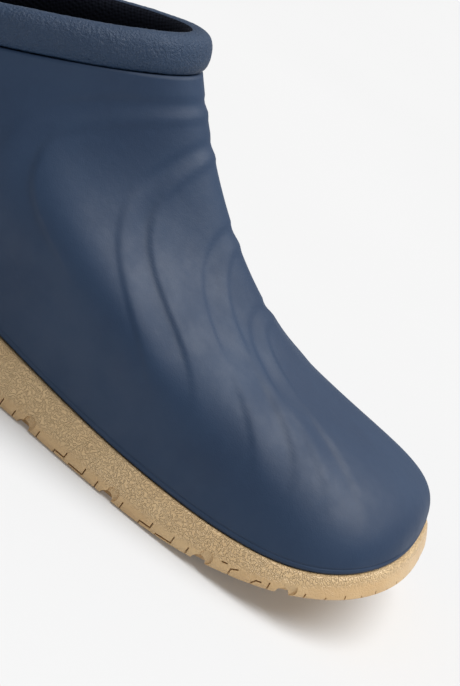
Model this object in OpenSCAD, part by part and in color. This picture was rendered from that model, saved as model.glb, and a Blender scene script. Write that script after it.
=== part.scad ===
// Rubber garden clog, right foot. Millimetres, +X toward the toe, +Y toward the inner side, +Z up.
// The shell, lining and collar are lofts: each of the ring_count lines runs from the sole's top edge
// up to the collar ring as one cubic curve, and every layer of the wall is that surface moved inward.

/* [Outline] */
// Distance of the toe's end in front of the outline's zero
toe_end = 138; // [135:0.5:140]
// Distance of the heel's end behind the outline's zero
heel_end = 148; // [146:0.5:150]
// Half width at the ball of the foot
ball_half_width = 54.5; // [53:0.5:56]
// Half width of the outer side at the waist
waist_outer = 33; // [32:0.5:35]
// Half width of the inner side at the waist
waist_inner = 35; // [34:0.5:37]
// Distance of the toe's tip from the middle line, toward the inner side
toe_turn_in = 18; // [14:0.5:20]
// Squareness of the toe, where 2 is an ellipse
toe_squareness = 2.8; // [2.4:0.1:3.2]

/* [Sole] */
// Height of the sole's top edge at the heel
sole_heel = 30; // [26:0.5:32]
// Height of the sole's top edge under the ball of the foot
sole_ball = 12.5; // [11.5:0.1:15]
// Rise of the sole's top edge from the ball to the toe
toe_rise = 14.5; // [13:0.5:16]
// Rise of the tread from the ball to the toe
toe_spring = 20; // [14:0.5:20.5]
// Distance the sole stands out past the upper at the ground
sole_flare = 4.5; // [2:0.1:6]
// Distance the sole stands out past the upper at its top edge
sole_ledge = 1.2; // [0.5:0.1:2]
// Thickness of rubber between the tread face and the cushion core
tread_base = 6.5; // [5.5:0.1:8]
// Depth of the tread grooves
groove_depth = 2.4; // [1:0.1:3]
// Width of the tread grooves
groove_width = 2.6; // [1.5:0.1:4]
// Distance from one tread groove to the next
groove_pitch = 17; // [14:0.5:24]
// Radius of the round notches in the tread's edge
notch_radius = 2.4; // [1.5:0.1:3]
// Distance from one edge notch to the next, along the sole's edge
notch_pitch = 35.5; // [32:0.5:37]

/* [Collar] */
// Distance of the collar's centre behind the outline's zero
collar_back = 66.5; // [62:0.5:70]
// Height of the collar ring at its centre
collar_height = 90.5; // [86:0.5:96]
// Half length of the collar ring in front of its centre
collar_front = 65; // [61:0.5:68]
// Half length of the collar ring behind its centre
collar_rear = 80; // [76:0.5:82]
// Half width of the collar ring
collar_half_width = 36.5; // [34:0.5:40]
// Upward tilt of the collar ring toward the front
collar_tilt = 22.5; // [19:0.5:25]
// Extra rise of the collar ring at the back of the heel
collar_heel_rise = 12; // [6:0.5:16]
// Thickness of the rolled rim
roll_thickness = 11; // [9:0.5:13]
// Height of the rolled rim
roll_height = 13.5; // [11:0.5:15]

/* [Wall] */
// Thickness of the rubber shell
shell_thickness = 3; // [2.4:0.1:3.4]
// Thickness of the heel counter and toe puff
stiffener_thickness = 0.6; // [0.4:0.1:0.8]
// Thickness of the textile lining
lining_thickness = 1.2; // [0.8:0.1:1.4]

/* [Inside] */
// Thickness of the insole board
board_thickness = 2; // [1.6:0.1:2.2]
// Thickness of the footbed's foam
footbed_thickness = 5; // [3:0.5:6]
// Thickness of the footbed's top cloth
cover_thickness = 0.8; // [0.5:0.1:1.2]
// Space between the footbed's edge and the lining
footbed_clearance = 2.8; // [1.5:0.1:3]

/* [Hidden] */

NAVY = [0.22, 0.29, 0.40];
TAN = [0.75, 0.63, 0.44];
CHARCOAL = [0.12, 0.13, 0.15];
BOARD_BROWN = [0.47, 0.38, 0.28];
CORE_GREY = [0.62, 0.63, 0.62];
STIFFENER_BLACK = [0.10, 0.10, 0.11];
FOOTBED_GREY = [0.30, 0.33, 0.37];

ring_count = 80;
toe_start = 90;         // where the toe's curve begins
heel_start = -115;      // where the heel's curve begins
toe_share = 0.14;       // share of the rings in each side's toe curve
heel_share = 0.1;       // share of the rings in each side's heel curve
waist_reach = 0.7;      // share of the way from toe_start to heel_start at which the waist is reached
toe_x = 135;            // where the toe spring reaches its stated rise
ball_x = 55.5;
heel_x = -heel_end;
wall_rows = 11;

// Handles of the wall's cubic curves: [toe, side, heel]
lower_rise = [35, 35, 12];
lower_bulge = [-6, 5, 10];
upper_drop = [105, 45, 15];
upper_forward = [40, 0, -10];
side_bulge = 6;
// The same handles' changes at the quarters, halfway between toe and side: [rise, bulge, drop, forward]
quarter = [5, -5, -5, -40];

seam = 0.15;            // gap between pieces that are bonded in the real shoe
layer_gap = 0.25;       // gap on each side of the stiffeners, which lie on curved faces
slide_gap = 0.35;       // gap under the loose footbed
board_drop = 1;         // distance of the board's top face below the sole's top edge
core_inset = 9;         // rubber wall left round the cushion core
core_front_x = 36;
groove_first_x = -128;
groove_last_x = 100;
groove_reach = 14;      // how far forward a groove's ends lie from its middle
tread_border = 5;       // plain border left round the grooves
tread_half_width = 60;
notch_depth = 6.5;
notch_front = 87.5;     // distance of the front notch from the toe's tip, along the sole's edge
notch_second = 115;
notch_count = 7;        // notches at one pitch on each side, behind the front one
far = 400;              // larger than the shoe, for cutting prisms
profile_step = 6;
roll_sides = 14;

function unit(v) = v / norm(v);
function mix(a, b, t) = a + (b - a) * t;
function ring(k) = (k + ring_count) % ring_count;

// Quarter of a rounded rectangle of half sizes a and b, t degrees round from a
function squared_arc(a, b, n, t) = pow(pow(cos(t) / a, n) + pow(sin(t) / b, n), -1 / n) * [cos(t), sin(t)];

// Outline where the upper meets the sole, f of the way round from the toe's tip: a squared toe, a waist
// that narrows as half a cosine wave, and a round heel. side is -1 for the outer side and 1 for the inner.
function toe_curve(f, side) =
    let (q = squared_arc(toe_end - toe_start, ball_half_width - side * toe_turn_in, toe_squareness,
                         90 * f / toe_share))
    [toe_start + q[0], toe_turn_in + side * q[1]];
function heel_curve(f, side, waist) =
    let (q = squared_arc(heel_end + heel_start, waist, 2, 90 * (0.5 - f) / heel_share))
    [heel_start - q[0], side * q[1]];
function waist_curve(f, side, waist) =
    let (along = (f - toe_share) / (0.5 - toe_share - heel_share))
    [mix(toe_start, heel_start, along),
     side * mix(waist, ball_half_width, (1 + cos(180 * min(1, along / waist_reach))) / 2)];
function side_point(f, side, waist) =
    f < toe_share ? toe_curve(f, side) :
    f > 0.5 - heel_share ? heel_curve(f, side, waist) : waist_curve(f, side, waist);

// Outline at ring index k, and the same outline moved outward by d
plan = [for (k = [0 : ring_count - 1]) let (f = k / ring_count)
    f <= 0.5 ? side_point(f, -1, waist_outer) : side_point(1 - f, 1, waist_inner)];
plan_out = [for (k = [0 : ring_count - 1])
    let (d = plan[ring(k + 1)] - plan[ring(k - 1)]) unit([-d[1], d[0]])];
function outline(d) = [for (k = [0 : ring_count - 1]) plan[k] + plan_out[k] * d];

// Height of the sole's top edge and of the tread face along the shoe
function toward_toe(x) = max(0, (x - ball_x) / (toe_x - ball_x));
function toward_heel(x) = min(1, max(0, (ball_x - x) / (ball_x - heel_x)));
function edge_z(x) = sole_ball + (sole_heel - sole_ball) * (1 - cos(180 * toward_heel(x))) / 2
    + toe_rise * pow(toward_toe(x), 3);
function tread_z(x) = toe_spring * pow(toward_toe(x), 2);

// Blend of a toe, a side and a heel value round the shoe, and the share of the quarters' changes
function around(v, t) = (cos(t) > 0 ? v[0] : v[2]) * pow(cos(t), 2) + v[1] * pow(sin(t), 2);
function at_quarter(t) = cos(t) > 0 ? pow(sin(2 * t), 2) : 0;
function turn(k) = 360 * k / ring_count;

tilt_x = [cos(collar_tilt), 0, sin(collar_tilt)];
collar_up = [-sin(collar_tilt), 0, cos(collar_tilt)];
function collar_point(t) = [-collar_back, 0, collar_height]
    + (cos(t) > 0 ? collar_front : collar_rear) * cos(t) * tilt_x
    + [0, -collar_half_width * sin(t), (cos(t) < 0 ? collar_heel_rise : 0) * pow(cos(t), 2)];
collar = [for (k = [0 : ring_count - 1]) collar_point(turn(k))];
collar_in = [for (k = [0 : ring_count - 1])
    unit(cross(collar_up, collar[ring(k + 1)] - collar[ring(k - 1)])) * -1];

// Cubic handles of each wall line
function foot_point(k) = [plan[k][0], plan[k][1], edge_z(plan[k][0])];
function low_handle(k) =
    let (t = turn(k), bulge = around(lower_bulge, t) + quarter[1] * at_quarter(t))
    foot_point(k) + [plan_out[k][0] * bulge, plan_out[k][1] * bulge,
                     around(lower_rise, t) + quarter[0] * at_quarter(t)];
function high_handle(k) =
    let (t = turn(k), drop = around(upper_drop, t) + quarter[2] * at_quarter(t))
    collar[k] - drop * collar_up
    + [around(upper_forward, t) + quarter[3] * at_quarter(t), -side_bulge * pow(sin(t), 3), 0];
function wall(k, u) =
    pow(1 - u, 3) * foot_point(k) + 3 * pow(1 - u, 2) * u * low_handle(k)
    + 3 * (1 - u) * u * u * high_handle(k) + pow(u, 3) * collar[k];
function wall_out(k, u) = let (h = 0.01)
    unit(cross(wall(k, u + h) - wall(k, u - h), wall(ring(k + 1), u) - wall(ring(k - 1), u)));

// Wall point on ring k and row j, moved inward by d, with its lowest row at height foot above the edge
function layer_point(k, j, d, foot) =
    j == 0 ? let (p = plan[k] - plan_out[k] * d) [p[0], p[1], edge_z(p[0]) + foot] :
    j == wall_rows ? collar[k] + collar_in[k] * d :
    wall(k, j / wall_rows) - wall_out(k, j / wall_rows) * d;

// Closed tube of sections: sections[i] is a closed ring of points, and the last section joins the first
module closed_loop(sections) {
    rings = len(sections);
    sides = len(sections[0]);
    polyhedron(
        points = [for (s = sections) each s],
        faces = [for (i = [0 : rings - 1], j = [0 : sides - 1])
            let (a = i * sides + j, b = i * sides + (j + 1) % sides,
                 c = ((i + 1) % rings) * sides + (j + 1) % sides, d = ((i + 1) % rings) * sides + j)
            each [[a, c, b], [a, d, c]]]);
}

// Strip of sections with its two ends closed; a section's second half runs back along its first half
module capped_strip(sections) {
    rings = len(sections);
    sides = len(sections[0]);
    polyhedron(
        points = [for (s = sections) each s],
        faces = concat(
            [for (i = [0 : rings - 2], j = [0 : sides - 1])
                let (a = i * sides + j, b = i * sides + (j + 1) % sides, c = b + sides, d = a + sides)
                each [[a, c, b], [a, d, c]]],
            [for (j = [0 : sides / 2 - 2]) each [[j, j + 1, sides - 2 - j], [j, sides - 2 - j, sides - 1 - j]]],
            [for (j = [0 : sides / 2 - 2]) let (e = (rings - 1) * sides)
                each [[e + j, e + sides - 2 - j, e + j + 1], [e + j, e + sides - 1 - j, e + sides - 2 - j]]]));
}

// Section of a wall layer between depths d0 and d1, from row j0 up to row j1
function layer_section(k, d0, d1, foot, j0, j1) = concat(
    [for (j = [j0 : j1]) layer_point(k, j, d0, foot)],
    [for (j = [j1 : -1 : j0]) layer_point(k, j, d1, foot)]);

module wall_layer(d0, d1, foot) {
    closed_loop([for (k = [0 : ring_count - 1]) layer_section(k, d0, d1, foot, 0, wall_rows)]);
}

// Stiffener against the inside of the shell, from the first row above the sole to row j1
module stiffener(first, last, j1) {
    d0 = shell_thickness + layer_gap;
    capped_strip([for (k = [first : last]) layer_section(ring(k), d0, d0 + stiffener_thickness, 0, 1, j1)]);
}

// Prism across the whole width between two lines in the X-Z plane
module along_shoe(low_line, high_line) {
    last = len(high_line) - 1;
    rotate([90, 0, 0]) linear_extrude(far, center = true)
        polygon(concat(low_line, [for (i = [last : -1 : 0]) high_line[i]]));
}
function profile_xs(x0, x1) = concat([for (x = [x0 : profile_step : x1 - 1]) x], [x1]);

// Solid between two heights that follow the sole's top edge, from x0 to x1
module edge_slab(low, high, x0, x1) {
    xs = profile_xs(x0, x1);
    along_shoe([for (x = xs) [x, edge_z(x) + low]], [for (x = xs) [x, edge_z(x) + high]]);
}

module inset_plate(inset, low, high, x0, x1) {
    intersection() {
        linear_extrude(far) polygon(outline(-inset));
        edge_slab(low, high, x0, x1);
    }
}

// Box centre of the widest sole outline, which is the part's origin
sole_outline = outline(sole_flare);
xs_out = [for (p = sole_outline) p[0]];
ys_out = [for (p = sole_outline) p[1]];
centre = [(min(xs_out) + max(xs_out)) / 2, (min(ys_out) + max(ys_out)) / 2, 0];
module placed() {
    translate(-centre) children();
}

board_low = -board_drop - board_thickness;
lining_depth = shell_thickness + stiffener_thickness + 2 * layer_gap;
footbed_inset = lining_depth + lining_thickness + footbed_clearance;

// Sole body without its tread: four rings from the tread face to the top edge, closed across the width
module sole_body() {
    levels = [[0, sole_flare - 1], [0.12, sole_flare], [0.6, mix(sole_ledge, sole_flare, 0.45)], [1, sole_ledge]];
    half = ring_count / 2;
    rows = [for (l = levels) [for (k = [0 : ring_count - 1])
        let (p = plan[k] + plan_out[k] * l[1], x = plan[k][0])
        [p[0], p[1], mix(tread_z(x), edge_z(x), l[0])]]];
    top = (len(levels) - 1) * ring_count;
    polyhedron(
        points = [for (r = rows) each r],
        faces = concat(
            [for (i = [0 : len(levels) - 2], k = [0 : ring_count - 1])
                let (a = i * ring_count + k, b = i * ring_count + ring(k + 1), c = b + ring_count, d = a + ring_count)
                each [[a, b, c], [a, c, d]]],
            [for (k = [0 : half - 1]) let (m = ring(-k), n = ring(-k - 1))
                each [[k, n, k + 1], [k, m, n]]],
            [for (k = [0 : half - 1]) let (m = ring(-k), n = ring(-k - 1))
                each [[top + k, top + k + 1, top + n], [top + k, top + n, top + m]]]));
}

// Chevron grooves, all one depth above the tread face, inside a plain border
module tread_grooves() {
    intersection() {
        along_shoe([for (x = profile_xs(heel_x, toe_x)) [x, tread_z(x) - groove_depth]],
                   [for (x = profile_xs(heel_x, toe_x)) [x, tread_z(x) + groove_depth]]);
        linear_extrude(far, center = true) polygon(outline(-tread_border));
        for (x = [groove_first_x : groove_pitch : groove_last_x])
            linear_extrude(far, center = true) polygon([
                [x, 0], [x + groove_reach, tread_half_width], [x + groove_reach + groove_width, tread_half_width],
                [x + groove_width, 0], [x + groove_reach + groove_width, -tread_half_width],
                [x + groove_reach, -tread_half_width]]);
    }
}

// Distance along the sole's edge from the toe's tip to each ring, and a list's value between rings
edge_run = [for (k = 0, run = 0; k <= ring_count;
                 run = run + norm(sole_outline[ring(k + 1)] - sole_outline[ring(k)]), k = k + 1) [run, k]];
edge_length = edge_run[ring_count][0];
function between(list, k) = mix(list[ring(floor(k))], list[ring(floor(k) + 1)], k - floor(k));
notch_places = concat([notch_front], [for (i = [0 : notch_count - 1]) notch_second + i * notch_pitch]);

// Round notch in the tread's edge at a distance along it from the toe's tip
module edge_notch(run) {
    k = lookup(run, edge_run);
    out = unit(between(plan_out, k));
    foot = between(plan, k);
    p = foot + out * (sole_flare + 1);
    translate([p[0], p[1], tread_z(foot[0])])
        rotate([0, 0, atan2(out[1], out[0])]) rotate([0, -90, 0])
            cylinder(r = notch_radius, h = notch_depth, $fn = 32);
}

module outsole() {
    color(TAN) placed() difference() {
        difference() {
            sole_body();
            inset_plate(shell_thickness + seam, board_low - seam, far / 8, heel_x, toe_x);
            inset_core(seam);
        }
        tread_grooves();
        for (run = notch_places) {
            edge_notch(run);
            edge_notch(edge_length - run);
        }
    }
}

// Wedge between the tread base and the board, widened by grow for its pocket
module inset_core(grow) {
    intersection() {
        linear_extrude(far) polygon(outline(grow - core_inset));
        edge_slab(-far / 8, board_low - seam + grow, heel_x, core_front_x + grow);
        translate([-far / 2, -far / 2, tread_base - grow]) cube([far, far, far / 4]);
    }
}

module cushion_core() {
    color(CORE_GREY) placed() inset_core(0);
}

module insole_board() {
    color(BOARD_BROWN) placed()
        inset_plate(shell_thickness + 2 * seam, board_low, -board_drop, heel_x, toe_x);
}

module upper_shell() {
    color(NAVY) placed() wall_layer(0, shell_thickness, seam);
}

module lining() {
    color(CHARCOAL) placed()
        wall_layer(lining_depth, lining_depth + lining_thickness, seam - board_drop);
}

module heel_counter() {
    middle = ring_count / 2;
    reach = 15;
    color(STIFFENER_BLACK) placed() stiffener(middle - reach, middle + reach, 8);
}

module toe_puff() {
    reach = 12;
    color(STIFFENER_BLACK) placed() stiffener(ring_count - reach, ring_count + reach, 4);
}

// Rolled rim on top of the shell: an oval section with its underside flat on the collar ring
module collar_roll() {
    centre_in = roll_thickness / 2 - 2.4;
    color(NAVY) placed() closed_loop([for (k = [0 : ring_count - 1])
        [for (i = [0 : roll_sides - 1]) let (a = 360 * (i + 0.5) / roll_sides,
            side = centre_in - roll_thickness / 2 * cos(a),
            up = max(seam, roll_height * (0.46 + 0.54 * sin(a))))
            collar[k] + collar_in[k] * side + collar_up * up]]);
}

module footbed_layer(low, high) {
    placed() inset_plate(footbed_inset, low, high, heel_x, toe_x);
}

module footbed_foam() {
    color(FOOTBED_GREY) footbed_layer(slide_gap - board_drop, slide_gap - board_drop + footbed_thickness);
}

module footbed_cover() {
    top = slide_gap - board_drop + footbed_thickness + seam / 2;
    color(CHARCOAL) footbed_layer(top, top + cover_thickness);
}

outsole();
cushion_core();
insole_board();
upper_shell();
collar_roll();
lining();
heel_counter();
toe_puff();
footbed_foam();
footbed_cover();
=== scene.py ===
"""Looks of the rubber garden clog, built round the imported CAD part.

Shapes are worked out in the part's own millimetres, before its origin is moved to the box's bottom
centre, and to_metres() brings them to the shared frame. Turn is a place round the shoe: 0 at the toe tip,
a quarter on the outer side, a half at the heel. Rise runs from 0 at the sole's edge to 1 at the collar.
"""

import math

import bmesh
import bpy
import numpy as np
from mathutils import Matrix, Vector, noise


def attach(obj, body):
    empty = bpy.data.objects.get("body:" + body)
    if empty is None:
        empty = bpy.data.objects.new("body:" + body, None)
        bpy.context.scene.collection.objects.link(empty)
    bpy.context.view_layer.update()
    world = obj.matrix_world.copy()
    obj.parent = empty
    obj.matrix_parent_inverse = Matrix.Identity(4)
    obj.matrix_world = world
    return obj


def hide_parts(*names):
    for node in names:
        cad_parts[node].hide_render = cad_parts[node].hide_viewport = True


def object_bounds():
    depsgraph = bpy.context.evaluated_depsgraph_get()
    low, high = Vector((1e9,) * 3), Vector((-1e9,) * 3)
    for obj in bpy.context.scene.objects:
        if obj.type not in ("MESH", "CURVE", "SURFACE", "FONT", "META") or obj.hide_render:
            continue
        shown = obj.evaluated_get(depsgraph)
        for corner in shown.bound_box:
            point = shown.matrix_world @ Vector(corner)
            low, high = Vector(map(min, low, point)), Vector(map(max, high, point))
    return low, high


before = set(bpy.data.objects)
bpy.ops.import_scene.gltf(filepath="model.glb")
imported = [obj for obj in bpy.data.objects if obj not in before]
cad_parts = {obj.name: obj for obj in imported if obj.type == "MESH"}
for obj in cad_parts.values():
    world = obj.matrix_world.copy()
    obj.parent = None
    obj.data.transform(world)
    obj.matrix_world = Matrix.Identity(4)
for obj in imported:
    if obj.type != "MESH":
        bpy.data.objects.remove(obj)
cad_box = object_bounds()

# ---------------------------------------------------------------- the part's driving dimensions, mm
TOE_END, HEEL_END, BALL_HALF_WIDTH, WAIST_OUTER, WAIST_INNER = 138, 148, 54.5, 33, 35
TOE_TURN_IN, TOE_SQUARENESS = 18, 2.8
TOE_START, HEEL_START, TOE_SHARE, HEEL_SHARE, WAIST_REACH = 90, -115, 0.14, 0.1, 0.7
SOLE_HEEL, SOLE_BALL, TOE_RISE, TOE_SPRING = 30, 12.5, 14.5, 20
SOLE_FLARE, SOLE_LEDGE = 4.5, 1.2
COLLAR_BACK, COLLAR_HEIGHT, COLLAR_FRONT, COLLAR_REAR = 66.5, 90.5, 65, 80
COLLAR_HALF_WIDTH, COLLAR_TILT, COLLAR_HEEL_RISE = 36.5, math.radians(22.5), 12
SHELL, LINING_DEPTH, LINING = 3.0, 4.1, 1.2
BOARD_DROP, BOARD, FOOTBED_INSET, FOOTBED, COVER = 1.0, 2.0, 8.1, 5.0, 0.8
SLIDE_GAP, SEAM = 0.35, 0.15
TOE_X, BALL_X, HEEL_X = 135, 55.5, -HEEL_END
RING_COUNT = 80
LOWER_RISE, LOWER_BULGE, UPPER_DROP, UPPER_FORWARD = (35, 35, 12), (-6, 5, 10), (105, 45, 15), (40, 0, -10)
SIDE_BULGE = 6
QUARTER_RISE, QUARTER_BULGE, QUARTER_DROP, QUARTER_FORWARD = 5, -5, -5, -40


# ---------------------------------------------------------------- the wall's surface
def unit(v):
    return v / np.linalg.norm(v, axis=-1, keepdims=True)


def squared_arc(a, b, n, angle):
    """Quarter of a rounded rectangle of half sizes a and b."""
    c, s = np.abs(np.cos(angle)), np.abs(np.sin(angle))
    reach = ((c / a) ** n + (s / b) ** n) ** (-1 / n)
    return reach * c, reach * s


def plan(turn):
    """Outline where the upper meets the sole: a squared toe, a waist, and a round heel."""
    turn = np.asarray(turn, float) % 1
    side, f = np.where(turn <= 0.5, -1, 1), np.minimum(turn, 1 - turn)
    waist = np.where(side < 0, WAIST_OUTER, WAIST_INNER)
    toe_x, toe_y = squared_arc(TOE_END - TOE_START, BALL_HALF_WIDTH - side * TOE_TURN_IN, TOE_SQUARENESS,
                               np.pi / 2 * np.minimum(f / TOE_SHARE, 1))
    heel_x, heel_y = squared_arc(HEEL_END + HEEL_START, waist, 2,
                                 np.pi / 2 * np.minimum((0.5 - f) / HEEL_SHARE, 1))
    along = (f - TOE_SHARE) / (0.5 - TOE_SHARE - HEEL_SHARE)
    narrowed = (1 + np.cos(np.pi * np.clip(along / WAIST_REACH, 0, 1))) / 2
    toe, heel = f < TOE_SHARE, f > 0.5 - HEEL_SHARE
    x = np.where(toe, TOE_START + toe_x,
                 np.where(heel, HEEL_START - heel_x, TOE_START + (HEEL_START - TOE_START) * along))
    y = np.where(toe, TOE_TURN_IN + side * toe_y,
                 np.where(heel, side * heel_y, side * (waist + (BALL_HALF_WIDTH - waist) * narrowed)))
    return np.stack([x, y], -1)


def plan_out(turn):
    step = 1 / RING_COUNT
    d = plan(np.asarray(turn) + step) - plan(np.asarray(turn) - step)
    return unit(np.stack([-d[..., 1], d[..., 0]], -1))


def edge_z(x):
    heel = np.clip((BALL_X - x) / (BALL_X - HEEL_X), 0, 1)
    toe = np.maximum(0, (x - BALL_X) / (TOE_X - BALL_X))
    return SOLE_BALL + (SOLE_HEEL - SOLE_BALL) * (1 - np.cos(np.pi * heel)) / 2 + TOE_RISE * toe**3


def tread_z(x):
    return TOE_SPRING * np.maximum(0, (x - BALL_X) / (TOE_X - BALL_X)) ** 2


def around(values, turn):
    c, s = np.cos(2 * np.pi * turn), np.sin(2 * np.pi * turn)
    return np.where(c > 0, values[0], values[2]) * c**2 + values[1] * s**2


TILT_X = np.array([math.cos(COLLAR_TILT), 0, math.sin(COLLAR_TILT)])
COLLAR_UP = np.array([-math.sin(COLLAR_TILT), 0, math.cos(COLLAR_TILT)])


def collar(turn):
    c, s = np.cos(2 * np.pi * turn), np.sin(2 * np.pi * turn)
    reach = np.where(c > 0, COLLAR_FRONT, COLLAR_REAR) * c
    return (np.array([-COLLAR_BACK, 0, COLLAR_HEIGHT]) + reach[..., None] * TILT_X
            + np.stack([0 * c, -COLLAR_HALF_WIDTH * s, np.where(c < 0, COLLAR_HEEL_RISE, 0) * c**2], -1))


def collar_in(turn):
    step = 1 / RING_COUNT
    return -unit(np.cross(COLLAR_UP, collar(turn + step) - collar(turn - step)))


def wall_handles(turn):
    """The four points of each wall line's cubic curve."""
    c, s = np.cos(2 * np.pi * turn), np.sin(2 * np.pi * turn)
    quarter = np.where(c > 0, (2 * s * c) ** 2, 0)
    p, n, top = plan(turn), plan_out(turn), collar(turn)
    foot = np.concatenate([p, edge_z(p[..., :1])], -1)
    bulge = around(LOWER_BULGE, turn) + QUARTER_BULGE * quarter
    low = foot + np.stack([n[..., 0] * bulge, n[..., 1] * bulge,
                           around(LOWER_RISE, turn) + QUARTER_RISE * quarter], -1)
    drop = around(UPPER_DROP, turn) + QUARTER_DROP * quarter
    high = top - drop[..., None] * COLLAR_UP + np.stack(
        [around(UPPER_FORWARD, turn) + QUARTER_FORWARD * quarter, -SIDE_BULGE * s**3, 0 * s], -1)
    return foot, low, high, top


def wall(turn, rise):
    turn, rise = np.broadcast_arrays(np.asarray(turn, float), np.asarray(rise, float))
    foot, low, high, top = wall_handles(turn)
    u = rise[..., None]
    return (1 - u) ** 3 * foot + 3 * (1 - u) ** 2 * u * low + 3 * (1 - u) * u**2 * high + u**3 * top


def wall_out(turn, rise, step=0.004):
    return unit(np.cross(wall(turn, rise + step) - wall(turn, rise - step),
                         wall(turn + step, rise) - wall(turn - step, rise)))


def smooth(low, high, value):
    """0 up to low, 1 from high, and a smooth step between them."""
    t = np.clip((value - low) / (high - low), 0, 1)
    return t * t * (3 - 2 * t)


# ---------------------------------------------------------------- meshes
coarse = np.arange(RING_COUNT) / RING_COUNT
flared = plan(coarse) + plan_out(coarse) * SOLE_FLARE
CENTRE = np.append((flared.min(0) + flared.max(0)) / 2, 0)


def to_metres(points):
    return (np.asarray(points, float).reshape(-1, 3) - CENTRE) / 1000


WELD = 2e-6        # metres within which points are joined


def new_piece(name, points_mm, faces, materials, body, sharp=None):
    """An object from points in millimetres, riding on its body."""
    mesh = bpy.data.meshes.new(name)
    mesh.from_pydata(to_metres(points_mm).tolist(), [], [list(map(int, f)) for f in faces])
    piece = bpy.data.objects.new(name, mesh)
    bpy.context.collection.objects.link(piece)
    finish_piece(piece, materials, body, sharp)
    return piece


def finish_piece(piece, materials, body, sharp=None, weld=True):
    work = bmesh.new()
    work.from_mesh(piece.data)
    if weld:
        bmesh.ops.remove_doubles(work, verts=work.verts, dist=WELD)
        bmesh.ops.dissolve_degenerate(work, edges=work.edges, dist=WELD)
    bmesh.ops.recalc_face_normals(work, faces=work.faces)
    work.to_mesh(piece.data)
    work.free()
    piece.data.materials.clear()
    for material in materials:
        piece.data.materials.append(material)
    piece.data.shade_smooth()
    if sharp is not None:
        piece.data.set_sharp_from_angle(angle=math.radians(sharp))
    if body:
        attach(piece, body)


def ring_faces(rings, sides, closed=False):
    """Quads between closed rings of points; closed joins the last ring to the first."""
    i = np.arange(rings if closed else rings - 1)[:, None]
    k = np.arange(sides)[None, :]
    a, b = i * sides + k, i * sides + (k + 1) % sides
    c, d = (i + 1) % rings * sides + (k + 1) % sides, (i + 1) % rings * sides + k
    return np.stack([a, b, c, d], -1).reshape(-1, 4).tolist()


def across(turn, outline, height, rows, reach=0.9):
    """Rings that run from an outline in to the shoe's middle line, where the two sides meet."""
    edge, twin = outline(turn), outline(-turn)
    middle = np.stack([(edge[..., 0] + twin[..., 0]) / 2 * reach, 0 * turn], -1)
    rings = []
    for f in rows:
        xy = edge + (middle - edge) * f
        rings.append(np.column_stack([xy, height(xy)]))
    return rings


def cut(piece, cutter, operation="DIFFERENCE"):
    """Applies a boolean with a closed cutter, which is then removed."""
    step = piece.modifiers.new("cut", "BOOLEAN")
    step.operation, step.solver, step.object = operation, "MANIFOLD", cutter
    bpy.context.view_layer.update()
    result = bpy.data.meshes.new_from_object(piece.evaluated_get(bpy.context.evaluated_depsgraph_get()))
    piece.modifiers.remove(step)
    old, name = piece.data, piece.data.name
    piece.data = result
    bpy.data.meshes.remove(old)
    result.name = name
    bpy.data.objects.remove(cutter)


def prisms(name, sections, slots=()):
    """One object of closed prisms. Each section is (points of one end, points of the other end), in mm."""
    points, faces, marks = [], [], []
    for n, (near, far_end) in enumerate(sections):
        sides, base = len(near), len(points)
        points += [*near, *far_end]
        faces += [[base + k for k in range(sides)], [base + sides + k for k in reversed(range(sides))]]
        faces += [[base + k, base + sides + k, base + sides + (k + 1) % sides, base + (k + 1) % sides]
                  for k in range(sides)]
        marks += [slots[n] if slots else 0] * (sides + 2)
    mesh = bpy.data.meshes.new(name)
    mesh.from_pydata(to_metres(points).tolist(), [], faces)
    piece = bpy.data.objects.new(name, mesh)
    bpy.context.collection.objects.link(piece)
    mesh.polygons.foreach_set("material_index", marks)
    work = bmesh.new()
    work.from_mesh(mesh)
    bmesh.ops.recalc_face_normals(work, faces=work.faces)
    work.to_mesh(mesh)
    work.free()
    return piece


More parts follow.
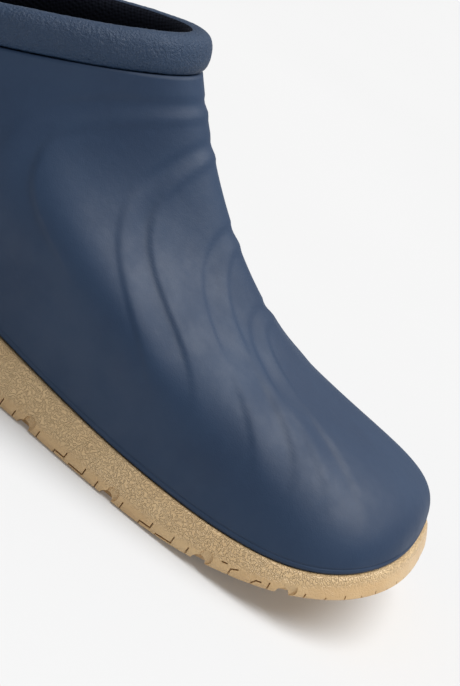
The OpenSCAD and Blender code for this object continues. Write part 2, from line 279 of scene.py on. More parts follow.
# ---------------------------------------------------------------- materials
class Nodes:
    """A short way to write a node material."""

    def __init__(self, name):
        self.material = bpy.data.materials.new(name)
        self.material.use_nodes = True
        self.tree = self.material.node_tree
        self.shader = self.tree.nodes["Principled BSDF"]
        self.place = self.add("ShaderNodeTexCoord").outputs["Object"]

    def add(self, kind, **settings):
        node = self.tree.nodes.new(kind)
        for key, value in settings.items():
            setattr(node, key, value)
        return node

    def link(self, source, socket):
        self.tree.links.new(source, socket)

    def feed(self, socket, value):
        if isinstance(value, bpy.types.NodeSocket):
            self.link(value, socket)
        else:
            socket.default_value = value

    def noise(self, scale, detail=3.0, roughness=0.55, distortion=0.0):
        """Noise with scale lumps a metre."""
        node = self.add("ShaderNodeTexNoise")
        node.inputs["Scale"].default_value = scale
        node.inputs["Detail"].default_value = detail
        node.inputs["Roughness"].default_value = roughness
        node.inputs["Distortion"].default_value = distortion
        self.link(self.place, node.inputs["Vector"])
        return node.outputs["Fac"]

    def math(self, operation, a, b=0.0):
        node = self.add("ShaderNodeMath", operation=operation)
        self.feed(node.inputs[0], a)
        self.feed(node.inputs[1], b)
        return node.outputs[0]

    def remap(self, value, low, high, to_low=0.0, to_high=1.0):
        node = self.add("ShaderNodeMapRange", interpolation_type="SMOOTHSTEP")
        self.feed(node.inputs["Value"], value)
        for socket, number in zip(("From Min", "From Max", "To Min", "To Max"), (low, high, to_low, to_high)):
            self.feed(node.inputs[socket], number)
        return node.outputs["Result"]

    def mix(self, amount, a, b):
        node = self.add("ShaderNodeMix", data_type="RGBA")
        self.feed(node.inputs["Factor"], amount)
        self.feed(node.inputs["A"], a)
        self.feed(node.inputs["B"], b)
        return node.outputs["Result"]

    def bump(self, height, distance, strength=1.0, over=None):
        node = self.add("ShaderNodeBump")
        self.feed(node.inputs["Height"], height)
        self.feed(node.inputs["Distance"], distance)
        self.feed(node.inputs["Strength"], strength)
        if over is not None:
            self.link(over, node.inputs["Normal"])
        return node.outputs["Normal"]

    def axis(self, letter):
        node = self.add("ShaderNodeSeparateXYZ")
        self.link(self.place, node.inputs[0])
        return node.outputs[letter]

    def finish(self, colour, roughness, normal=None, **constants):
        self.feed(self.shader.inputs["Base Color"], colour)
        self.feed(self.shader.inputs["Roughness"], roughness)
        if normal is not None:
            self.link(normal, self.shader.inputs["Normal"])
        for key, value in constants.items():
            self.shader.inputs[key.replace("_", " ")].default_value = value
        return self.material


def attribute(nodes, name):
    return nodes.add("ShaderNodeAttribute", attribute_name=name).outputs["Fac"]


def shell_rubber():
    n = Nodes("shell_rubber")
    cloudy, mottle, dust = n.noise(28, 4), n.noise(260, 3), n.noise(2600, 2)
    navy = n.mix(n.remap(cloudy, 0.35, 0.65), (0.009, 0.031, 0.079, 1), (0.012, 0.037, 0.089, 1))
    navy = n.mix(n.remap(mottle, 0.5, 0.75, 0, 0.35), navy, (0.015, 0.041, 0.096, 1))
    # Painted shade: the navy is darkened along the ribbons' sunk edges, standing in for the shade in these
    # creases.
    navy = n.mix(n.math("MULTIPLY", attribute(n, "crease_shade"), 0.2), navy, (0.010, 0.022, 0.048, 1))
    rough = n.remap(n.noise(90, 4), 0.3, 0.7, 0.54, 0.64)
    normal = n.bump(dust, 0.00012, 0.35)
    normal = n.bump(mottle, 0.0004, 0.25, over=normal)
    return n.finish(navy, rough, normal, Specular_IOR_Level=0.5)


def collar_rubber():
    n = Nodes("collar_rubber")
    grain, cloudy = n.noise(1200, 3, 0.6), n.noise(40, 3)
    navy = n.mix(n.remap(cloudy, 0.35, 0.65), (0.011, 0.035, 0.084, 1), (0.015, 0.042, 0.095, 1))
    navy = n.mix(n.remap(grain, 0.52, 0.7, 0, 0.6), navy, (0.036, 0.066, 0.120, 1))
    normal = n.bump(grain, 0.0012, 0.7)
    return n.finish(navy, n.remap(n.noise(300, 2), 0.3, 0.7, 0.5, 0.62), normal)


def gum_rubber():
    """Pebbled gum sole: worm-like valleys over its upper part, coloured darker as painted shade, smoother and
    browner near the tread.
    """
    n = Nodes("gum_rubber")
    metres = lambda mm: mm / 1000
    toe = n.math("SUBTRACT", n.axis("X"), metres(BALL_X - CENTRE[0]))
    toe = n.math("MAXIMUM", n.math("DIVIDE", toe, metres(TOE_X - BALL_X)), 0.0)
    spring = n.math("MULTIPLY", n.math("MULTIPLY", toe, toe), metres(TOE_SPRING))
    above = n.math("SUBTRACT", n.axis("Z"), spring)
    upper_part = n.remap(above, 0.0026, 0.0056)
    worms = n.math("ABSOLUTE", n.math("SUBTRACT", n.noise(1050, 1.0, 0.35, distortion=0.3), 0.5))
    pebble = n.remap(worms, 0.0, 0.11)
    height = n.math("MULTIPLY", pebble, n.math("ADD", n.math("MULTIPLY", upper_part, 0.85), 0.15))
    tone = n.mix(n.remap(n.noise(45, 3), 0.35, 0.65), (0.72, 0.50, 0.265, 1), (0.78, 0.56, 0.31, 1))
    low = n.mix(n.remap(n.noise(70, 3), 0.3, 0.7), (0.64, 0.43, 0.22, 1), (0.70, 0.49, 0.26, 1))
    tone = n.mix(upper_part, low, tone)
    # Painted shade: the worm-like valleys of the pebbling are coloured dark brown, standing in for the shade
    # in them.
    valley_shade = n.math("MULTIPLY", n.math("SUBTRACT", 1.0, pebble), n.math("MULTIPLY", upper_part, 0.10))
    tone = n.mix(valley_shade, tone, (0.30, 0.19, 0.085, 1))
    normal = n.bump(n.noise(2400, 2), 0.0001, 0.3)
    normal = n.bump(height, 0.00042, 0.9, over=normal)
    return n.finish(tone, n.remap(n.noise(160, 3), 0.3, 0.7, 0.34, 0.46), normal)


# Painted shade: the walls of the sipes' narrow cuts are coloured dark brown, standing in for the shade inside
# them.
def sipe_shade_rubber():
    n = Nodes("sipe_shade_rubber")
    tone = n.mix(n.remap(n.noise(300, 3), 0.35, 0.65), (0.10, 0.055, 0.02, 1), (0.16, 0.09, 0.035, 1))
    return n.finish(tone, 0.75, n.bump(n.noise(2000, 2), 0.0001, 0.4))


def woven(name, dark, light, pitch, roughness=0.9, depth=0.0003):
    """Cloth with rows of stitches: two crossed waves, pitch in metres."""
    n = Nodes(name)
    waves = []
    for direction in ("X", "Y", "Z"):
        wave = n.math("MULTIPLY", n.axis(direction), 2 * math.pi / pitch)
        waves.append(n.math("SINE", wave))
    weave = n.math("MULTIPLY", n.math("ADD", waves[0], waves[1]), waves[2])
    weave = n.remap(n.math("ADD", weave, n.math("MULTIPLY", n.noise(900, 2), 1.2)), -1.2, 2.0)
    tone = n.mix(weave, dark, light)
    tone = n.mix(n.remap(n.noise(35, 3), 0.4, 0.7, 0, 0.4), tone, dark)
    return n.finish(tone, roughness, n.bump(weave, depth, 0.7), Specular_IOR_Level=0.05)


def sheet_stuff(name, dark, light, scale, roughness, depth=0.0002):
    """Boards, foams and stiffeners: fine mottled stuff."""
    n = Nodes(name)
    fine = n.noise(scale, 4, 0.65)
    tone = n.mix(n.remap(fine, 0.35, 0.65), dark, light)
    tone = n.mix(n.remap(n.noise(40, 3), 0.4, 0.7, 0, 0.35), tone, dark)
    rough = n.remap(fine, 0.3, 0.7, roughness - 0.06, roughness + 0.06)
    return n.finish(tone, rough, n.bump(fine, depth, 0.6))


SHELL_RUBBER, COLLAR_RUBBER = shell_rubber(), collar_rubber()
GUM_RUBBER, SIPE_SHADE_RUBBER = gum_rubber(), sipe_shade_rubber()
# The lining's knit is a dark cloth, made near black so that it also paints the shade inside the shoe.
LINING_CLOTH_AND_SHADE = woven("lining_knit_and_shade", (0.004, 0.0045, 0.008, 1), (0.010, 0.012, 0.019, 1), 0.0016)
COVER_CLOTH = woven("footbed_weave", (0.012, 0.015, 0.021, 1), (0.045, 0.052, 0.066, 1), 0.0011)
FOAM = sheet_stuff("footbed_foam_cells", (0.075, 0.09, 0.115, 1), (0.12, 0.14, 0.17, 1), 1400, 0.85)
CORE = sheet_stuff("core_cells", (0.33, 0.33, 0.31, 1), (0.46, 0.46, 0.43, 1), 1100, 0.85)
BOARD_FIBRE = sheet_stuff("board_fibre", (0.2, 0.135, 0.08, 1), (0.31, 0.22, 0.13, 1), 900, 0.8)
STIFFENER = sheet_stuff("stiffener_sheet", (0.014, 0.014, 0.016, 1), (0.03, 0.03, 0.033, 1), 700, 0.6)

for node, material in (("cushion_core", CORE), ("insole_board", BOARD_FIBRE),
                       ("heel_counter", STIFFENER), ("toe_puff", STIFFENER)):
    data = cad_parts[node].data
    if len(data.materials):
        for i in range(len(data.materials)):
            data.materials[i] = material
    else:
        data.materials.append(material)

# ---------------------------------------------------------------- moulded ribbons in the upper
# Each ribbon starts level on the toe line, bends at the instep and runs down toward the sole: the four
# handles (turn in degrees, rise) of its curve, its widths in mm at the two ends, and where it twists.
# A ribbon is tilted: its outer edge is sunk near the instep, and past its twist its inner edge is.
RIBBONS = (
    (((0, 0.97), (66, 0.97), (98, 0.77), (84, 0.26)), (4, 15), 0.45),
    (((0, 0.93), (46, 0.93), (46, 0.60), (66, 0.18)), (5, 13), 0.35),
    (((0, 0.83), (30, 0.85), (32, 0.45), (50, 0.12)), (6, 13), 0.60),
    (((0, 0.72), (24, 0.74), (28, 0.40), (36, 0.12)), (4, 12), 0.60),
)
SUNK, RAISED, CRISP, SOFT = 0.56, 0.46, 1.1, 2.2
LOBE_HEIGHT, LOBE_REACH = 0.10, 15.0
PATH_STEPS = 300
BEND_BLEND = 3.5         # mm over which a ribbon's two stretches blend inside its bend
PAST_TOE_LINE = 0.06     # share of each ribbon that runs on over the toe line, where the two sides meet


def ribbon_path(handles, widths, side):
    """Points down a ribbon's middle, the way it runs, the wall's outward direction, half width and place."""
    place = np.linspace(-PAST_TOE_LINE, 1, PATH_STEPS)
    p0, p1, p2, p3 = (np.array(handle, float) for handle in handles)
    u = place[:, None]
    line = (1 - u) ** 3 * p0 + 3 * (1 - u) ** 2 * u * p1 + 3 * (1 - u) * u**2 * p2 + u**3 * p3
    turn, rise = side * line[:, 0] / 360, line[:, 1]
    at = wall(turn, rise)
    half = (widths[0] + (widths[1] - widths[0]) * np.clip(place, 0, 1)) / 2
    return at, unit(np.gradient(at, axis=0)), wall_out(turn, rise), half, place


def tilted(s, half):
    """Height across a ribbon: sunk at +half, then a crisp step; raised at -half, with a soft one."""
    sunk = np.where(s < half, smooth(-half, half, s), 1 - smooth(half, half + 2 * CRISP, s))
    raised = np.where(s > -half, 1 - smooth(-half, half * 0.6, s), smooth(-half - SOFT, -half, s))
    return RAISED * raised - SUNK * sunk


def relief(points, turn):
    """Height of the moulded relief at wall points, and how near each is to a sunk edge, where the shell's
    colour is darkened as painted shade.
    """
    height, crease_shade = np.zeros(len(points)), np.zeros(len(points))
    for handles, widths, twist in RIBBONS:
        for side in (1, -1):
            at, along, out, half, where = ribbon_path(handles, widths, side)
            own = turn <= 0.5 if side > 0 else turn > 0.5
            near = np.flatnonzero(own & (np.abs((turn + 0.5) % 1 - 0.5) < 0.3))
            p = points[near]
            gap = (p**2).sum(1)[:, None] + (at**2).sum(1)[None] - 2 * p @ at.T
            j = gap.argmin(1)
            share = np.exp((gap.min(1)[:, None] - gap) / (2 * BEND_BLEND**2))
            place = share @ where / share.sum(1)
            offset = p - at[j]
            ahead = np.einsum("ij,ij->i", offset, along[j])
            aside = offset - along[j] * ahead[:, None]
            sign = np.sign(np.einsum("ij,ij->i", np.cross(along[j], aside), out[j])) * side
            s, w = np.linalg.norm(aside, axis=1) * sign, half[j]
            fade = (1 - smooth(0.74, 1.0, place)) * (0.75 + 0.25 * smooth(0.1, 0.5, place))
            turned = smooth(twist - 0.11, twist + 0.11, place)
            shape = tilted(s, w) * turned + tilted(-s, w) * (1 - turned)
            beyond = np.maximum(s - w - CRISP, 0)
            lobe = np.exp(-(beyond / LOBE_REACH) ** 2) * smooth(w, w + 2 * CRISP, s) * turned
            height[near] += fade * (shape + LOBE_HEIGHT * lobe)
            crease_shade[near] = np.maximum(crease_shade[near], fade * turned * np.exp(-((s - w) / 1.0) ** 2))
    return height, crease_shade


# ---------------------------------------------------------------- upper shell
SHELL_COLUMNS, SHELL_ROWS, FOOT_ROWS, LINE_SAMPLES = 560, 124, 14, 240
FOOT_ZONE = 4.2          # height of the finely divided strip at the wall's foot
LIP = ((0, -0.75), (0.35, -0.3), (0.7, 0.12), (1.9, 0.16), (2.25, -0.22), (2.6, 0.05), (3.4, 0.0))


def even_rises(turn, start, rows):
    """Rises evenly spaced along each wall line, from after start up to 1."""
    u = np.linspace(0, 1, LINE_SAMPLES)[:, None]
    fine = start + (1 - start) * u
    line = wall(np.broadcast_to(turn, fine.shape), fine)
    steps = np.linalg.norm(np.diff(line, axis=0), axis=2)
    run = np.concatenate([0 * line[:1, :, 0], np.cumsum(steps, axis=0)])
    share = np.arange(1, rows + 1) / rows
    return np.stack([np.interp(share * run[-1, k], run[:, k], fine[:, k]) for k in range(len(turn))], axis=1)


def build_shell():
    turn = np.arange(SHELL_COLUMNS) / SHELL_COLUMNS
    foot, low = wall_handles(turn)[:2]
    per_mm = 1 / (3 * np.linalg.norm(low - foot, axis=1))
    heights = np.linspace(0, FOOT_ZONE, FOOT_ROWS)
    rise = np.concatenate([heights[:, None] * per_mm, even_rises(turn, FOOT_ZONE * per_mm, SHELL_ROWS)])
    turns = np.broadcast_to(turn, rise.shape)
    skin, out = wall(turns, rise), wall_out(turns, rise)
    out[0] = np.column_stack([plan_out(turn), 0 * turn])
    flat = skin.reshape(-1, 3)
    height, crease_shade = relief(flat, turns.reshape(-1))
    calm = smooth(0.05, 0.16, rise).reshape(-1) * (1 - smooth(0.985, 1.0, rise).reshape(-1))
    height = height * calm
    lip_x, lip_y = np.array(LIP).T
    foot_height = (rise / per_mm).reshape(-1)
    height = height + np.where(foot_height < FOOT_ZONE, np.interp(foot_height, lip_x, lip_y), 0)
    skin = (flat + out.reshape(-1, 3) * height[:, None]).reshape(skin.shape)
    skin[0, :, 2] += SEAM
    inner = []
    for r in np.linspace(0.96, 0.0, 12):
        at = wall(turn, np.full_like(turn, r)) - wall_out(turn, np.full_like(turn, r)) * SHELL
        inner.append(at)
    p = plan(turn) - plan_out(turn) * SHELL
    inner[-1] = np.column_stack([p, edge_z(p[:, 0]) + SEAM])
    top_in = collar(turn) + collar_in(turn) * SHELL
    rings = [*skin, top_in, *inner]
    faces = ring_faces(len(rings), SHELL_COLUMNS, closed=True)
    piece = new_piece("upper_shell_moulded", np.concatenate(rings), faces, [SHELL_RUBBER], None)
    # These values mark where the shell's colour is darkened along the sunk edges, as painted shade.
    layer = piece.data.attributes.new("crease_shade", "FLOAT", "POINT")
    values = np.zeros(len(piece.data.vertices), np.float32)
    values[:len(crease_shade)] = crease_shade * calm
    layer.data.foreach_set("value", values)
    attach(piece, "shoe")
    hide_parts("upper_shell")


build_shell()

# ---------------------------------------------------------------- collar roll
ROLL_THICK, ROLL_HIGH, ROLL_STAND = 10.6, 13.6, 1.5
ROLL_COLUMNS, ROLL_SIDES = 520, 40
ROLL_SHADE_SIDES = (12, 24)   # sides of the section, on the opening's side, that get the lining's near-black cloth, also as painted shade inside the opening
ROLL_SQUARENESS, ROLL_MIDDLE = 2.5, 0.48
ROLL_GRAIN = ((0.9, 0.10), (0.07, 0.22))   # (lumps a mm, height in mm) of its fine and broad unevenness


def build_roll():
    turn = np.arange(ROLL_COLUMNS) / ROLL_COLUMNS
    base, inward = collar(turn), collar_in(turn)
    rings = []
    for k in range(ROLL_SIDES):
        a = 2 * math.pi * (k + 0.5) / ROLL_SIDES
        c, s = -math.cos(a), math.sin(a)
        squared = (abs(c) ** ROLL_SQUARENESS + abs(s) ** ROLL_SQUARENESS) ** (-1 / ROLL_SQUARENESS)
        side = ROLL_THICK / 2 - ROLL_STAND + ROLL_THICK / 2 * c * squared
        up = ROLL_HIGH * (ROLL_MIDDLE + 0.5 * s * squared)
        rings.append(base + inward * side + COLLAR_UP * max(up, SEAM))
    points = np.concatenate(rings)
    grain = [sum(noise.noise(Vector(p) * lumps) * high for lumps, high in ROLL_GRAIN)
             for p in points.tolist()]
    middle = base + inward * (ROLL_THICK / 2 - ROLL_STAND) + COLLAR_UP * ROLL_HIGH / 2
    centre = np.tile(middle, (ROLL_SIDES, 1))
    points = points + unit(points - centre) * np.array(grain)[:, None]
    piece = new_piece("collar_roll_grained", points, ring_faces(ROLL_SIDES, ROLL_COLUMNS, closed=True),
                      [COLLAR_RUBBER, LINING_CLOTH_AND_SHADE], "shoe")
    # The roll's inner sides get the lining's near-black cloth, partly as painted shade inside the opening.
    for face in piece.data.polygons:
        k = face.index // ROLL_COLUMNS
        face.material_index = int(ROLL_SHADE_SIDES[0] <= k < ROLL_SHADE_SIDES[1])
    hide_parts("collar_roll")


build_roll()

# ---------------------------------------------------------------- outsole
SOLE_SPACING = 1.1
# Distances in mm along the sole's edge from the toe's tip, the same on each side
NOTCH_FRONT, NOTCH_SECOND, NOTCH_PITCH, NOTCH_COUNT = 87.5, 115, 35.5, 7
NOTCHES = [NOTCH_FRONT] + [NOTCH_SECOND + NOTCH_PITCH * i for i in range(NOTCH_COUNT)]
# Sipes of a lug: lines of (distance from its notch toward the toe, height), in mm
LONG_LUG = (
    ((6, -1), (6, 2.5)),
    ((13.5, -1), (13.5, 1.5), (17.5, 1.5), (17.5, 3)),
    ((20, -1), (20, 1), (25.5, 1), (25.5, 3)),
    ((31, -1), (31, 2.5)),
)
SHORT_LUG = (
    ((6.5, 3.5), (8, 3.5)),
    ((10, -1), (10, 2.5), (12, 3)),
    ((17, -1), (17.5, 1), (18.5, 2), (20, 2)),
    ((22.5, -1), (22.5, 2.5)),
)
TICK_FIRST, TICK_PITCH, TICK_COUNT, TICK_HEIGHTS = 4, 7, 12, (1.2, 1.7)
SIPE_WIDTH, SIPE_DEPTH, DISC_RADIUS, DISC_DEPTH, NOTCH_RADIUS = 0.5, 1.3, 2.3, 0.8, 2.4
DISC_HEIGHT, NOTCH_REACH = 2.5, 4.0
DISC_AHEAD, DISC_SINK, NOTCH_DROP = 1.6, 0.25, 0.1
HEEL_LUG, HEEL_SIPE = 36, ((6.2, -1), (6.2, 2.7))     # distance behind the last notch, and its first sipe
SIPE_LEAN, PAST_SIPE, PAST_EDGE = 0.12, 3, 4          # how cutters lean in, and reach past the wall
# The wall's rounded foot, (height, distance inside the widest line), and rounded top, (drop, distance in)
SOLE_FOOT = ((0, 1.2), (0.12, 0.75), (0.4, 0.3), (0.9, 0))
SOLE_TOP = ((0.25, 0.05), (0.06, 0.3), (0, 0.7))
FOOT_SHARE, WALL_LEAST, WALL_BULGE = 0.12, 0.95, 0.25


def along_edge():
    """Turn as a function of the distance round the sole's widest line, 0 at the toe tip, and its length."""
    turn = np.linspace(0, 1, 6001)
    line = plan(turn) + plan_out(turn) * SOLE_FLARE
    length = np.append(0, np.cumsum(np.linalg.norm(np.diff(line, axis=0), axis=1)))
    return turn, length


EDGE_TURN, EDGE_LENGTH = along_edge()


def turn_at(distance):
    return np.interp(np.asarray(distance, float) % EDGE_LENGTH[-1], EDGE_LENGTH, EDGE_TURN)


def even_turns(count):
    """Turns about evenly spaced round the sole, in pairs mirrored from side to side."""
    half = EDGE_TURN <= 0.5
    length = EDGE_LENGTH[half] + EDGE_LENGTH[-1] - EDGE_LENGTH[::-1][half]
    side = np.interp(np.arange(count // 2 + 1) / (count // 2) * length[-1], length, EDGE_TURN[half])
    return np.append(side, 1 - side[-2:0:-1])


def sole_rows(turn):
    """Rings of the sole's wall from the tread's edge up and over the ledge to the pocket for the board."""
    p, n = plan(turn), plan_out(turn)
    x = p[:, 0]
    bottom, top = tread_z(x), edge_z(x)
    rings = []
    for h, inside in SOLE_FOOT:
        rings.append(np.column_stack([p + n * (SOLE_FLARE - inside), bottom + h]))
    for f in np.linspace(0.14, 0.95, 15):
        taper = (SOLE_FLARE - SOLE_LEDGE) * (f - FOOT_SHARE) / (1 - FOOT_SHARE)
        out = SOLE_FLARE - taper + WALL_BULGE * math.sin(math.pi * f)
        height = np.maximum(bottom + (top - bottom) * f, bottom + WALL_LEAST)
        rings.append(np.column_stack([p + n * out, height]))
    rounded = [(drop, SOLE_LEDGE - inside) for drop, inside in SOLE_TOP]
    for drop, out in (*rounded, (0, -SHELL), (BOARD_DROP + BOARD + SEAM, -SHELL - SEAM)):
        rings.append(np.column_stack([p + n * out, top - drop]))
    return rings


def build_sole_body():
    count = int(EDGE_LENGTH[-1] / SOLE_SPACING / 2) * 2
    turn = even_turns(count)
    wall_rings = sole_rows(turn)
    under = across(turn, lambda t: plan(t) + plan_out(t) * (SOLE_FLARE - SOLE_FOOT[0][1]),
                   lambda xy: tread_z(xy[:, 0]), np.linspace(1, 0.04, 14), reach=0.86)
    over = across(turn, lambda t: plan(t) - plan_out(t) * (SHELL + SEAM),
                  lambda xy: edge_z(xy[:, 0]) - BOARD_DROP - BOARD - SEAM, np.linspace(0.1, 1, 8), reach=0.86)
    rings = [*under, *wall_rings, *over]
    return new_piece("outsole_gum", np.concatenate(rings), ring_faces(len(rings), count),
                     [GUM_RUBBER, SIPE_SHADE_RUBBER], None)


def edge_frame(distance):
    """At a distance round the sole's edge: the point on the tread's edge, the way toward the toe, outward."""
    turn = turn_at(distance)
    p, n = plan(turn), plan_out(turn)
    side = 1 if distance % EDGE_LENGTH[-1] < EDGE_LENGTH[-1] / 2 else -1
    return np.append(p, tread_z(p[0])), np.append(n, 0), np.array([n[1], -n[0], 0]) * -side


def sipe_sections(line, notch, side):
    """Thin blades along a line of (distance toward the toe, height), each set into the wall's face."""
    made = []
    for (d0, h0), (d1, h1) in zip(line, line[1:]):
        ends = []
        for d, h in ((d0, h0), (d1, h1)):
            base = edge_frame(side * (notch - d))[0]
            ends.append(base + np.array([0, 0, h]))
        out = edge_frame(side * (notch - (d0 + d1) / 2))[1]
        run = unit(ends[1] - ends[0])
        across_run = unit(np.cross(run, out)) * SIPE_WIDTH / 2
        a, b = ends[0] - run * SIPE_WIDTH / 2, ends[1] + run * SIPE_WIDTH / 2
        inner, outer = out * (SOLE_FLARE - SIPE_DEPTH), out * (SOLE_FLARE + PAST_SIPE)
        lean = lambda h: inner - out * max(h, 0) * SIPE_LEAN
        near = [a - across_run + lean(h0), a + across_run + lean(h0),
                b + across_run + lean(h1), b - across_run + lean(h1)]
        made.append((near, [a - across_run + outer, a + across_run + outer,
                            b + across_run + outer, b - across_run + outer]))
    return made


def round_section(distance, height, radius, inner, outer, sides=20):
    base, out, toward = edge_frame(distance)
    up = np.array([0, 0, 1.0])
    ring = [base + up * height + (toward * math.cos(a) + up * math.sin(a)) * radius
            for a in (2 * math.pi * k / sides for k in range(sides))]
    return [q + out * inner for q in ring], [q + out * outer for q in ring]


def build_sole():
    body = build_sole_body()
    discs, notches, blades = [], [], []
    for side in (1, -1):
        for i, notch in enumerate(NOTCHES):
            lug = SHORT_LUG if i == 1 else LONG_LUG
            notches.append(round_section(side * notch, -NOTCH_DROP, NOTCH_RADIUS,
                                         SOLE_FLARE - NOTCH_REACH, SOLE_FLARE + PAST_EDGE))
            discs.append(round_section(side * (notch - DISC_AHEAD), DISC_HEIGHT, DISC_RADIUS,
                                       SOLE_FLARE - DISC_DEPTH - DISC_SINK, SOLE_FLARE + PAST_EDGE))
            if i:
                for line in lug:
                    blades.append(sipe_sections(line, notch, side))
        for i in range(TICK_COUNT):
            line = ((0, -1), (0.25, TICK_HEIGHTS[i % 2]))
            blades.append(sipe_sections(line, TICK_FIRST + TICK_PITCH * i, side))
        heel = NOTCHES[-1] + HEEL_LUG
        blades.append(sipe_sections(HEEL_SIPE, heel, side))
        blades.append(sipe_sections(LONG_LUG[1], heel, side))
    cut(body, prisms("disc_cutter", discs))
    cut(body, prisms("notch_cutter", notches))
    for layer in range(3):
        part = [blade[layer] for blade in blades if len(blade) > layer]
        # Slot 1 gives the sipes' walls the dark brown of painted shade.
        cut(body, prisms("sipe_cutter", part, [1] * len(part)))
    cut(body, tread_cutter())
    finish_piece(body, [GUM_RUBBER, SIPE_SHADE_RUBBER], "shoe", sharp=38, weld=False)
    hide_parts("outsole")


GROOVE_PITCH, GROOVE_DEPTH, GROOVE_WIDTH, GROOVE_REACH, GROOVE_BORDER = 17, 2.4, 2.6, 14, 5
GROOVE_FIRST, GROOVE_COUNT, TREAD_HALF = -128, 14, 60
BORDER_COLUMNS = 240


def tread_cutter():
    """Chevron grooves of one depth, inside a plain border."""
    chevrons = []
    for i in range(GROOVE_COUNT):
        x = GROOVE_FIRST + GROOVE_PITCH * i
        shape = [(x, 0), (x + GROOVE_REACH, TREAD_HALF), (x + GROOVE_REACH + GROOVE_WIDTH, TREAD_HALF),
                 (x + GROOVE_WIDTH, 0), (x + GROOVE_REACH + GROOVE_WIDTH, -TREAD_HALF),
                 (x + GROOVE_REACH, -TREAD_HALF)]
        chevrons.append(([(*q, -10) for q in shape], [(*q, 30) for q in shape]))
    grooves = prisms("groove_cutter", chevrons)
    turn = np.arange(BORDER_COLUMNS) / BORDER_COLUMNS
    inset = lambda t: plan(t) - plan_out(t) * GROOVE_BORDER
    rows = np.linspace(1, 0, 12)
    low = across(turn, inset, lambda xy: tread_z(xy[:, 0]) - 5, rows, reach=0.86)
    high = across(turn, inset, lambda xy: tread_z(xy[:, 0]) + GROOVE_DEPTH, rows[::-1], reach=0.86)
    rings = [*low, *high]
    faces = ring_faces(len(rings), BORDER_COLUMNS)
    border = new_piece("border_cutter", np.concatenate(rings), faces, [], None)
    cut(grooves, border, "INTERSECT")
    return grooves


build_sole()

# ---------------------------------------------------------------- lining
LINING_COLUMNS, LINING_ROWS = 300, 56
LINING_LUMPS, LINING_RIPPLE, LINING_EASE, CALM_ROWS = 0.045, 0.35, 0.1, 3


def layer_rings(depth, turn, rows):
    """Rings of the wall's surface moved inward by depth, from the board up to under the roll."""
    rings = []
    for r in rows:
        rise = np.full_like(turn, r)
        rings.append(wall(turn, rise) - wall_out(turn, rise) * depth)
    p = plan(turn) - plan_out(turn) * depth
    rings[0] = np.column_stack([p, edge_z(p[:, 0]) - BOARD_DROP + SEAM])
    rings[-1] = collar(turn) + collar_in(turn) * depth
    return rings


def build_lining():
    turn = np.arange(LINING_COLUMNS) / LINING_COLUMNS
    rows = np.linspace(0, 1, LINING_ROWS)
    outer = layer_rings(LINING_DEPTH, turn, rows)
    inner = layer_rings(LINING_DEPTH + LINING, turn, rows)
    for i in range(CALM_ROWS, LINING_ROWS - CALM_ROWS):
        ripple = np.array([noise.noise(Vector(q) * LINING_LUMPS) for q in inner[i].tolist()])
        depth = LINING_RIPPLE * ripple[:, None] - LINING_EASE
        inner[i] = inner[i] - wall_out(turn, np.full_like(turn, rows[i])) * depth
    rings = [*outer, *inner[::-1]]
    faces = ring_faces(len(rings), LINING_COLUMNS, closed=True)
    piece = new_piece("lining_textile", np.concatenate(rings), faces, [LINING_CLOTH_AND_SHADE], "shoe")
    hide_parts("lining")


build_lining()

# ---------------------------------------------------------------- loose footbed
BED_COLUMNS = 260
BED_LOW = SLIDE_GAP - BOARD_DROP
BED_TOP = BED_LOW + FOOTBED
CLOTH_LOW = BED_TOP + SEAM / 2
CLOTH_TOP = CLOTH_LOW + COVER
# Rims of the foam and the cloth, from the underside up: (distance in from the edge, height)
FOAM_RIM = ((0.7, BED_LOW), (0.1, BED_LOW + 0.7), (0, BED_LOW + 2.5), (0.1, BED_TOP - 0.5), (0.6, BED_TOP))
CLOTH_RIM = ((0.5, CLOTH_LOW), (0.15, CLOTH_LOW + 0.3), (0.3, CLOTH_TOP - 0.1), (0.8, CLOTH_TOP))
CLOTH_LUMPS, CLOTH_RIPPLE = 0.05, 0.18


def bed_face(turn, rim_point, rows):
    """Rings over the slab's underside or top, which starts at a point of its rim."""
    inset, height = FOOTBED_INSET + rim_point[0], rim_point[1]
    return across(turn, lambda t: plan(t) - plan_out(t) * inset, lambda xy: edge_z(xy[:, 0]) + height,
                  rows, reach=0.84)


def bed_rings(turn, rim):
    """Closed slab over the board, its heights taken from the sole's edge."""
    rows = np.linspace(0.04, 1, 16)
    rings = bed_face(turn, rim[0], rows[::-1])
    for inset, height in rim:
        p = plan(turn) - plan_out(turn) * (FOOTBED_INSET + inset)
        rings.append(np.column_stack([p, edge_z(p[:, 0]) + height]))
    return rings + bed_face(turn, rim[-1], rows)


def build_footbed():
    turn = np.arange(BED_COLUMNS) / BED_COLUMNS
    foam = bed_rings(turn, FOAM_RIM)
    piece = new_piece("footbed_foam_pad", np.concatenate(foam), ring_faces(len(foam), BED_COLUMNS),
                      [FOAM], "footbed")
    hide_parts("footbed_foam")
    cloth = bed_rings(turn, CLOTH_RIM)
    points = np.concatenate(cloth)
    top = points[:, 2] > edge_z(points[:, 0]) + CLOTH_TOP - 0.05
    ripple = np.array([noise.noise(Vector((x * CLOTH_LUMPS, y * CLOTH_LUMPS, 3.0)))
                       for x, y, _ in points.tolist()])
    points[:, 2] += np.where(top, CLOTH_RIPPLE * ripple, 0)
    piece = new_piece("footbed_cloth_top", points, ring_faces(len(cloth), BED_COLUMNS),
                      [COVER_CLOTH], "footbed")
    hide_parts("footbed_cover")


build_footbed()

# ---------------------------------------------------------------- floor, light and camera
FLOOR = 40.0             # metres
FLOOR_GLOW, WORLD_STRENGTH = 0.09, 0.29
KEY_TOWARD, KEY_STRENGTH, KEY_ANGLE = (0.28, 0.14, 0.95), 3.4, 60


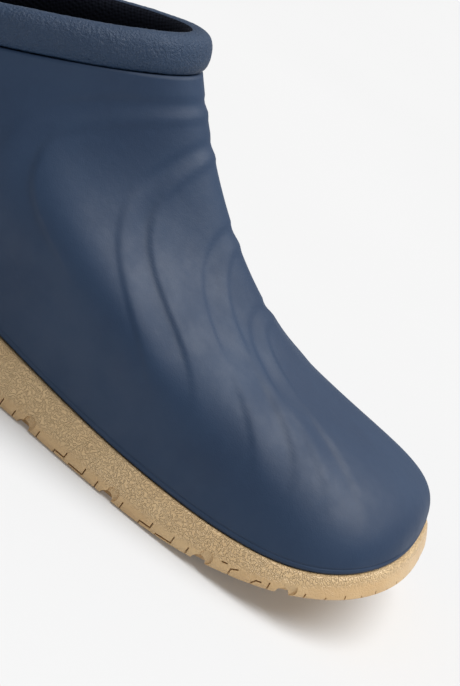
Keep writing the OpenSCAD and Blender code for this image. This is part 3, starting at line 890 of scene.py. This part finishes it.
def build_floor():
    n = Nodes("studio_floor")
    tone = n.mix(n.remap(n.noise(3, 2), 0.3, 0.7), (0.63, 0.63, 0.63, 1), (0.64, 0.64, 0.64, 1))
    material = n.finish(tone, 0.9, Specular_IOR_Level=0.1, Emission_Color=(1, 1, 1, 1),
                        Emission_Strength=FLOOR_GLOW)
    mesh = bpy.data.meshes.new("studio_floor")
    half = FLOOR / 2
    corners = [(-half, -half, 0), (half, -half, 0), (half, half, 0), (-half, half, 0)]
    mesh.from_pydata(corners, [], [(0, 1, 2, 3)])
    mesh.materials.append(material)
    floor = bpy.data.objects.new("studio_floor", mesh)
    bpy.context.collection.objects.link(floor)
    floor.location.z = cad_box[0][2] - 0.0002


def add_sun(name, toward, strength, angle):
    """A distant soft light; toward is the direction that it shines from."""
    lamp = bpy.data.lights.new(name, "SUN")
    lamp.energy, lamp.angle = strength, math.radians(angle)
    holder = bpy.data.objects.new(name, lamp)
    bpy.context.collection.objects.link(holder)
    holder.rotation_euler = Vector(toward).to_track_quat("Z", "Y").to_euler()


build_floor()
world = bpy.data.worlds.new("studio")
world.use_nodes = True
world.node_tree.nodes["Background"].inputs["Color"].default_value = (1, 1, 1, 1)
world.node_tree.nodes["Background"].inputs["Strength"].default_value = WORLD_STRENGTH
bpy.context.scene.world = world
add_sun("key", KEY_TOWARD, KEY_STRENGTH, KEY_ANGLE)
bpy.context.scene.view_settings.view_transform = "Standard"

# The camera looks at the outer side, rolled so that the toe points down to the right.
CAMERA_AIM = (50.5, -3.5, 49)       # mm
CAMERA_AZIMUTH, CAMERA_ELEVATION, CAMERA_ROLL = (math.radians(angle) for angle in (2.5, 17.5, 35))
CAMERA_DISTANCE, CAMERA_LENS = 0.838, 135
aim = Vector(to_metres(CAMERA_AIM)[0])
eye = aim + CAMERA_DISTANCE * Vector((math.sin(CAMERA_AZIMUTH) * math.cos(CAMERA_ELEVATION),
                                      -math.cos(CAMERA_AZIMUTH) * math.cos(CAMERA_ELEVATION),
                                      math.sin(CAMERA_ELEVATION)))
look = (aim - eye).normalized()
level = look.cross(Vector((0, 0, 1))).normalized()
right = level * math.cos(CAMERA_ROLL) + level.cross(look) * math.sin(CAMERA_ROLL)
up = right.cross(look)
lens = bpy.data.cameras.new("camera")
lens.lens, lens.sensor_width, lens.clip_start, lens.clip_end = CAMERA_LENS, 36, 0.05, 50
camera = bpy.data.objects.new("camera", lens)
bpy.context.collection.objects.link(camera)
camera.matrix_world = Matrix.Translation(eye) @ Matrix((right, up, -look)).transposed().to_4x4()
bpy.context.scene.camera = camera

bpy.context.view_layer.update()
